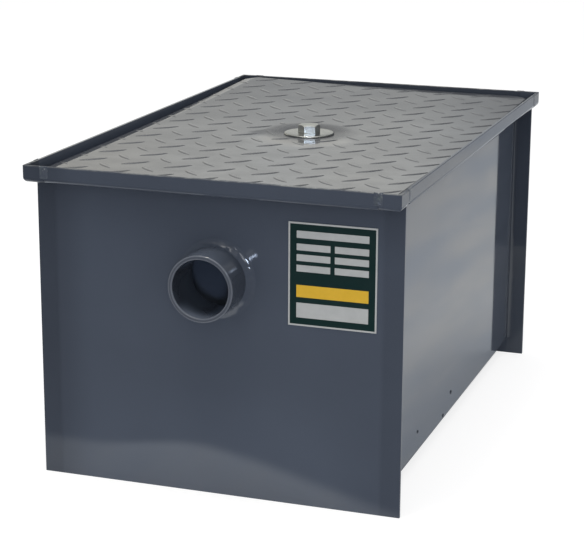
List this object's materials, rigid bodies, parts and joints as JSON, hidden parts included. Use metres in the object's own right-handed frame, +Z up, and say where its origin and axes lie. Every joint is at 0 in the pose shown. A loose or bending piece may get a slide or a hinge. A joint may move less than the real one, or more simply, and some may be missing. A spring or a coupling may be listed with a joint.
{
  "type": "grease trap",
  "caption": "Low box-shaped steel grease trap with a pipe spigot at each end, removable baffles inside and a recessed tread-plate lid held by a centre bolt.",
  "frame": {"origin": "on the floor under the middle of the tank", "axes": "+Z up, +Y from the inlet end to the outlet end, +X to the right when facing the inlet"},
  "size_m": [0.3516, 0.59, 0.2972],
  "materials": {
    "enamel": "glossy dark blue-grey enamel",
    "lid_enamel": "glossy blue-grey enamel on tread plate",
    "zinc": "bright zinc plating",
    "rubber": "matt black rubber",
    "label": "printed foil plate, dark green with a silver-white border"
  },
  "bodies": {
    "tank": {"tank_shell": "enamel", "front_end_plate": "enamel", "rear_end_plate": "enamel", "corner_front_left": "enamel", "corner_front_right": "enamel", "corner_rear_left": "enamel", "corner_rear_right": "enamel", "rim_seam_welds": "enamel", "wall_seam_welds": "enamel", "inlet_pipe": "enamel", "outlet_pipe": "enamel", "inlet_weld": "enamel", "outlet_weld": "enamel", "lid_gasket": "rubber", "hold_down_bar": "enamel", "hold_down_nut": "zinc", "inlet_baffle": "enamel", "centre_baffle": "enamel", "outlet_baffle": "enamel", "inlet_rails_left": "enamel", "inlet_rails_right": "enamel", "centre_rails_left": "enamel", "centre_rails_right": "enamel", "outlet_rails_left": "enamel", "outlet_rails_right": "enamel", "rating_plate": "label"},
    "lid": {"lid": "lid_enamel"},
    "washer": {"lid_washer": "zinc", "bolt_seal": "rubber"},
    "bolt": {"lid_bolt": "zinc"}
  },
  "joints": [
    {"name": "lid_lift", "type": "slide", "parent": "tank", "child": "lid", "axis": [0, 0, 1], "range_m": [0, 0.15]},
    {"name": "washer_lift", "type": "slide", "parent": "lid", "child": "washer", "axis": [0, 0, 1], "range_m": [0, 0.0195]},
    {"name": "bolt_turn", "type": "hinge", "parent": "washer", "child": "bolt", "pos_m": [0, 0, 0.2893], "axis": [0, 0, 1], "range_deg": [0, 3600]}
  ],
  "couplings": [
    {"joint": "bolt_turn", "follows": "washer_lift", "rad_per_m": 3215.8}
  ]
}
